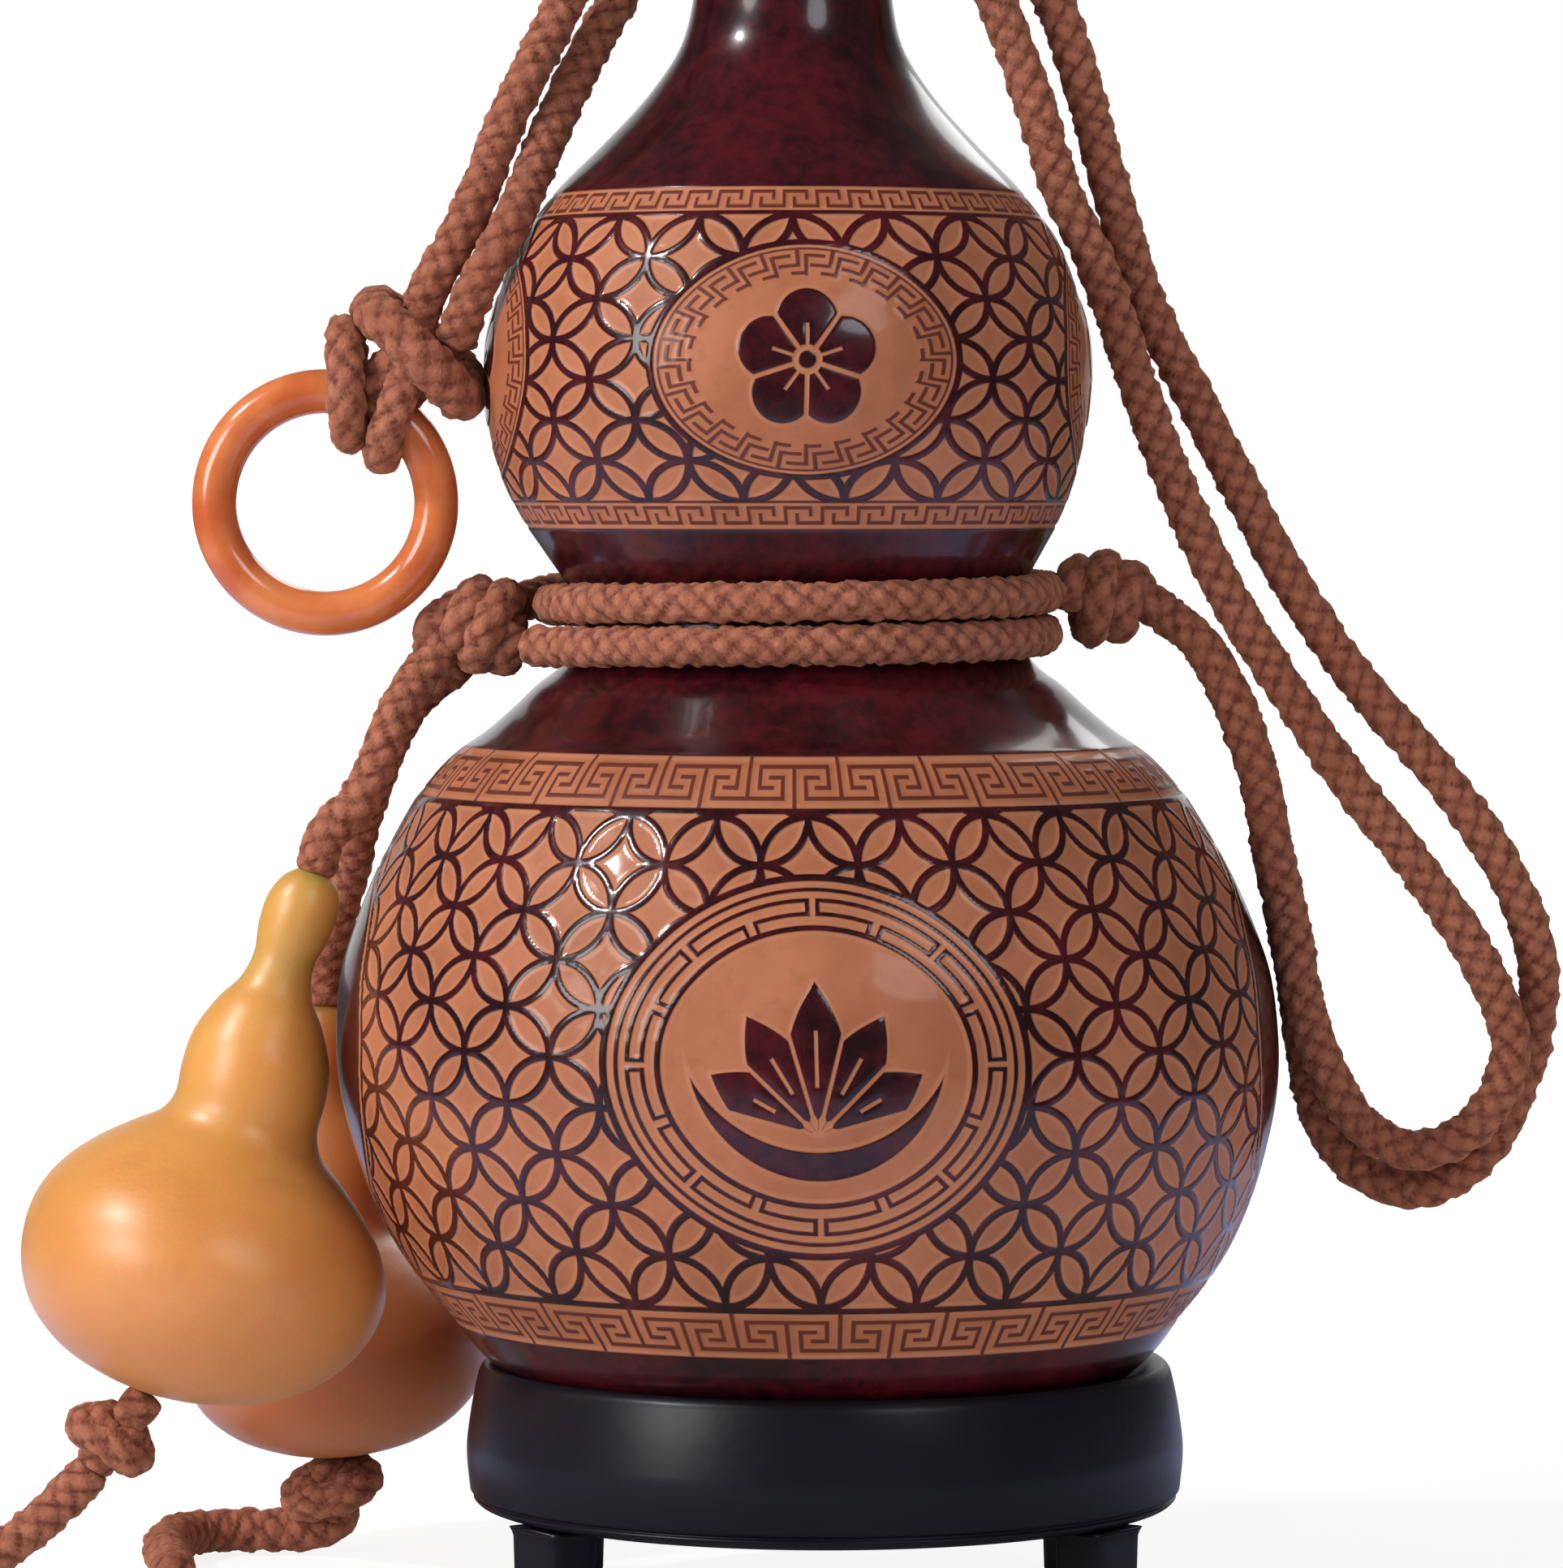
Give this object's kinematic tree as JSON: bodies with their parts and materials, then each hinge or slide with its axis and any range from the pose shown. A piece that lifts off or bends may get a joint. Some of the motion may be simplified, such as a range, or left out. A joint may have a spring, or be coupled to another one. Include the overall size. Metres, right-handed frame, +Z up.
{
  "type": "gourd bottle",
  "caption": "Carved double-bulb gourd bottle with stopper on a turned four-legged stand, carried by a braided cord with a hanging ring and small gourds.",
  "frame": {"origin": "on the floor under the middle of the lower bulb, at the bottom centre of the box round the stand, bottle and stopper", "axes": "+Z up, -Y towards the front, +X to the right as seen from the front"},
  "size_m": [0.2267, 0.1263, 0.2667],
  "materials": {
    "black_wood": "black satin lacquer",
    "carved_gourd": "glossy dark red lacquer cut through to the pale skin",
    "dark_wood": "polished",
    "cork": "raw cork",
    "cord": "matt round braid",
    "amber": "polished, slightly see-through",
    "small_gourd": "natural satin skin"
  },
  "bodies": {
    "stand": {"stand_ring": "black_wood", "stand_leg_left": "black_wood", "stand_leg_right": "black_wood", "stand_leg_back": "black_wood", "stand_leg_back_right": "black_wood"},
    "bottle": {"gourd_shell": "carved_gourd", "mouth_collar": "dark_wood", "waist_turns": "cord", "strap_left_front": "cord", "neck_pass_front": "cord", "strap_right_front": "cord", "strap_left_back": "cord", "neck_pass_back": "cord", "strap_right_back": "cord", "waist_knot_right": "cord", "waist_knot_left": "cord", "drop_cord_front": "cord", "drop_cord_back": "cord", "ring_knot": "cord", "gourd_core_front": "cord", "gourd_core_back": "cord", "stop_knot_front": "cord", "stop_knot_back": "cord", "tail_front": "cord", "tail_back": "cord"},
    "stopper": {"stopper_cap": "dark_wood", "stopper_plug": "cork"},
    "ring": {"amber_ring": "amber"},
    "gourd_front": {"small_gourd_front": "small_gourd"},
    "gourd_back": {"small_gourd_back": "small_gourd"}
  },
  "joints": [
    {"name": "bottle_lift", "type": "slide", "parent": "stand", "child": "bottle", "axis": [0, 0, 1], "range_m": [0, 0.04]},
    {"name": "stopper_pull", "type": "slide", "parent": "bottle", "child": "stopper", "axis": [0, 0, 1], "range_m": [0, 0.03]},
    {"name": "ring_turn", "type": "hinge", "parent": "bottle", "child": "ring", "pos_m": [-0.0621, -0.004, 0.1434], "axis": [0, 1, 0], "continuous": true},
    {"name": "gourd_front_turn", "type": "hinge", "parent": "bottle", "child": "gourd_front", "pos_m": [-0.0633, -0.008, 0.0959], "axis": [0.304, 0, 0.9527], "continuous": true},
    {"name": "gourd_back_turn", "type": "hinge", "parent": "bottle", "child": "gourd_back", "pos_m": [-0.0651, 0.044, 0.0752], "axis": [0.0052, 0, 1], "continuous": true}
  ]
}
